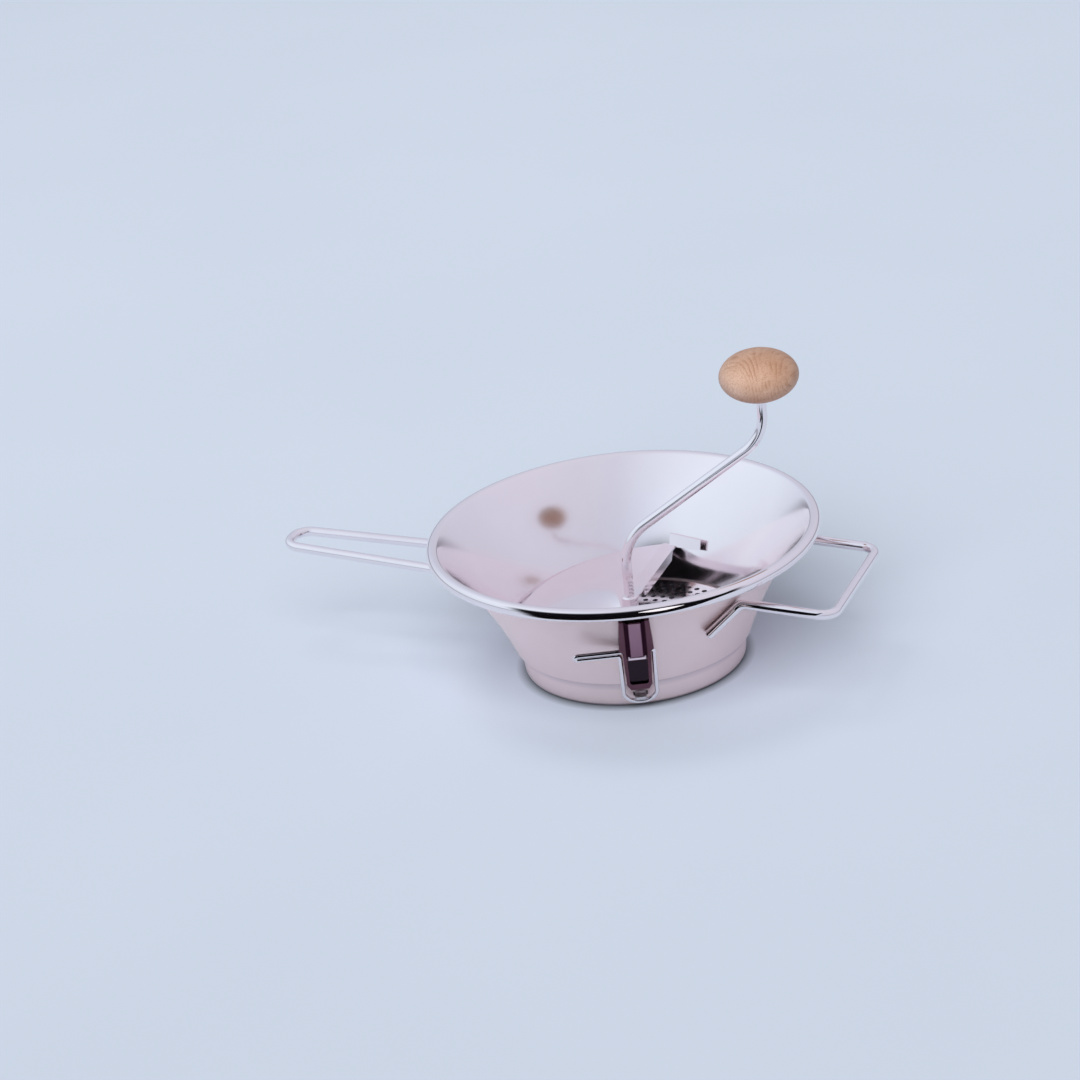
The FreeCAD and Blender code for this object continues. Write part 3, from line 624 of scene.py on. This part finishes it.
def flag(name, columns, colour, glow=0.0):
    """Curved card round the axis, seen only in reflections. columns: azimuth, then (r, z, cover) up the card."""
    me = bpy.data.meshes.new(name)
    vs, fs, cover = [], [], []
    rows = len(columns[0][1])
    for a, up in columns:
        a = math.radians(a)
        for r, z, c in up:
            vs.append((r * math.cos(a), r * math.sin(a), z))
            cover.append(c)
    for i in range(len(columns) - 1):
        for j in range(rows - 1):
            k = i * rows + j
            fs.append((k, k + rows, k + rows + 1, k + 1))
    me.from_pydata(vs, [], fs)
    me.attributes.new("cover", "FLOAT", "POINT").data.foreach_set("value", cover)
    o = linked(name, me)
    t = Tree(name)
    t.bsdf.inputs["Base Color"].default_value = (*colour, 1)
    t.bsdf.inputs["Roughness"].default_value = 1.0
    t.bsdf.inputs["Specular IOR Level"].default_value = 0.0
    t.link(t.add("ShaderNodeAttribute", attribute_name="cover").outputs["Fac"], t.bsdf.inputs["Alpha"])
    if glow:
        t.bsdf.inputs["Emission Color"].default_value = (1, 1, 1, 1)
        t.bsdf.inputs["Emission Strength"].default_value = glow
    me.materials.append(t.mat)
    reflected_only(o)
    return o


def between(x, stops):
    for (x0, y0), (x1, y1) in zip(stops, stops[1:]):
        if x <= x1:
            return y0 + (y1 - y0) * max(0.0, (x - x0) / (x1 - x0))
    return stops[-1][1]


def eased(x):
    x = max(0.0, min(1.0, x))
    return x * x * (3 - 2 * x)


BLACK = (0.010, 0.008, 0.010)
columns = []
for i in range(61):
    # leans in over the rim at the front, so that little of it stands in the bowl's mirror
    a = -112 + 90 * i / 60
    low = between(a, [(-112, 0.0), (-62, 0.0), (-50, 0.03), (-38, 0.075), (-22, 0.100)])
    lean = between(a, [(-112, 1.0), (-52, 1.0), (-40, 0.25), (-22, 0.0)])
    ends = eased((a + 112) / 8) * eased((-22 - a) / 8)
    up = []
    for j in range(9):
        up.append((0.165, low + (max(low, 0.084) - low) * j / 8, ends))
    for j in range(1, 9):
        f = j / 8
        up.append((0.165 - 0.039 * lean * f, max(low, 0.084) + (0.031 - 0.0145 * lean) * f,
                   ends * (1 - eased((f - 0.86) / 0.14))))
    columns.append((a, up))
flag("black_flag", columns, BLACK)
columns = []
for i in range(37):
    # faded out on every side, so that the bowl mirrors it as a soft shade
    a, f = -130 + 66 * i / 36, i / 36
    ends = eased(f / 0.48) * eased((1 - f) / 0.48)
    columns.append((a, [(0.30, 0.114 + 0.156 * j / 24, ends * eased(j / 11) * eased((24 - j) / 11)) for j in range(25)]))
flag("dark_strip", columns, (0.040, 0.035, 0.040))
columns = []
for i in range(13):
    h = 0.0003 + 0.0041 * math.sin(math.pi * i / 12)
    columns.append((-66 + 14 * i / 12, [(0.1295, 0.0884 - h, 1.0), (0.1295, 0.0884 + h, 1.0)]))
flag("white_slip", columns, (0.9, 0.9, 0.9), 0.8)


# pale card in front of the loop's foot, so that the wire carries a light line between two dark ones
mid, out = Vector((0.0823, -0.0525, 0.057)), Vector((0.0107, -0.992, 0.1233)).normalized()
run = Vector((0.669, 0.320, 0.672))
run = (run - out * run.dot(out)).normalized()
wide = out.cross(run)
me = bpy.data.meshes.new("foot_card")
me.from_pydata([mid + out * 0.025 + run * u + wide * v for u, v in
                ((-0.022, -0.0042), (0.006, -0.0042), (0.006, 0.0042), (-0.022, 0.0042))], [], [(0, 1, 2, 3)])
ct = Tree("foot_card")
ct.bsdf.inputs["Base Color"].default_value = (0.30, 0.26, 0.28, 1)
ct.bsdf.inputs["Emission Color"].default_value = (0.90, 0.80, 0.84, 1)
ct.bsdf.inputs["Emission Strength"].default_value = 0.5
me.materials.append(ct.mat)
reflected_only(linked("foot_card", me))


# soft tent round the stage: what the polished steel mirrors
def tent(name, radius, up_stops, side_stops, strength):
    bm = bmesh.new()
    cols, rows = 96, 32
    grid = []
    for j in range(rows):
        e = math.radians(-2 + 91.5 * j / rows)
        grid.append([bm.verts.new((radius * math.cos(e) * math.cos(2 * math.pi * i / cols),
                                   radius * math.cos(e) * math.sin(2 * math.pi * i / cols),
                                   radius * math.sin(e))) for i in range(cols)])
    for p, q in zip(grid, grid[1:]):
        for i in range(cols):
            k = (i + 1) % cols
            bm.faces.new((p[i], q[i], q[k], p[k]))
    top = bm.verts.new((0, 0, radius))
    for i in range(cols):
        bm.faces.new((grid[-1][i], top, grid[-1][(i + 1) % cols]))
    me = bpy.data.meshes.new(name)
    bm.to_mesh(me)
    bm.free()
    o = linked(name, me)
    smooth(o)
    t = Tree(name)
    way = t.vec("NORMALIZE", t.coords())
    up = t.ramp(t.split(way)[2], up_stops)
    left = t.vec("DOT_PRODUCT", way, (math.cos(math.radians(-150)), math.sin(math.radians(-150)), 0.0))
    side = t.ramp(t.span(left, 0.0, 1.0, -0.8, 0.8), side_stops)
    t.bsdf.inputs["Base Color"].default_value = (0, 0, 0, 1)
    t.bsdf.inputs["Roughness"].default_value = 1.0
    t.bsdf.inputs["Specular IOR Level"].default_value = 0.0
    t.link(t.mix(1.0, up, side, "MULTIPLY"), t.bsdf.inputs["Emission Color"])
    t.bsdf.inputs["Emission Strength"].default_value = strength
    t.mat.cycles.emission_sampling = "NONE"
    me.materials.append(t.mat)
    reflected_only(o)
    o.visible_camera = True
    return o


tent("tent", 6.0,
     [(0.0, (0.30, 0.31, 0.36)), (0.09, (0.40, 0.42, 0.48)), (0.18, (0.70, 0.77, 0.86)),
      (0.55, (0.76, 0.84, 0.94)), (1.0, (0.86, 0.92, 1.0))],
     [(0.0, (0.82, 0.755, 0.795)), (0.35, (0.755, 0.71, 0.745)), (0.55, (0.745, 0.725, 0.77)), (0.72, (0.83, 0.835, 0.875)),
      (0.94, (0.97, 0.99, 1.0))], 1.06)

world = bpy.data.worlds.new("studio")
scene.world = world
world.use_nodes = True
wn = world.node_tree
wn.nodes.clear()
wo, bg = wn.nodes.new("ShaderNodeOutputWorld"), wn.nodes.new("ShaderNodeBackground")
bg.inputs[0].default_value = (0.96, 0.98, 1.0, 1)
bg.inputs[1].default_value = 0.26
wn.links.new(bg.outputs[0], wo.inputs[0])


def lamp(kind, name, loc, target, power, size):
    d = bpy.data.lights.new(name, kind)
    d.energy = power
    if kind == "AREA":
        d.shape, d.size = "DISK", size
    else:
        d.angle = math.radians(size)
    o = linked(name, d)
    o.location = loc
    o.rotation_mode = "QUATERNION"
    o.rotation_quaternion = (Vector(target) - Vector(loc)).to_track_quat("-Z", "Y")
    o.visible_glossy = False
    return o


lamp("AREA", "key", (-0.9, 0.5, 2.6), (0, 0, 0.05), 8.0, 1.0)
lamp("SUN", "front_fill", (0.3, -1.7, 1.7), (0, 0, 0.0), 2.45, 55)
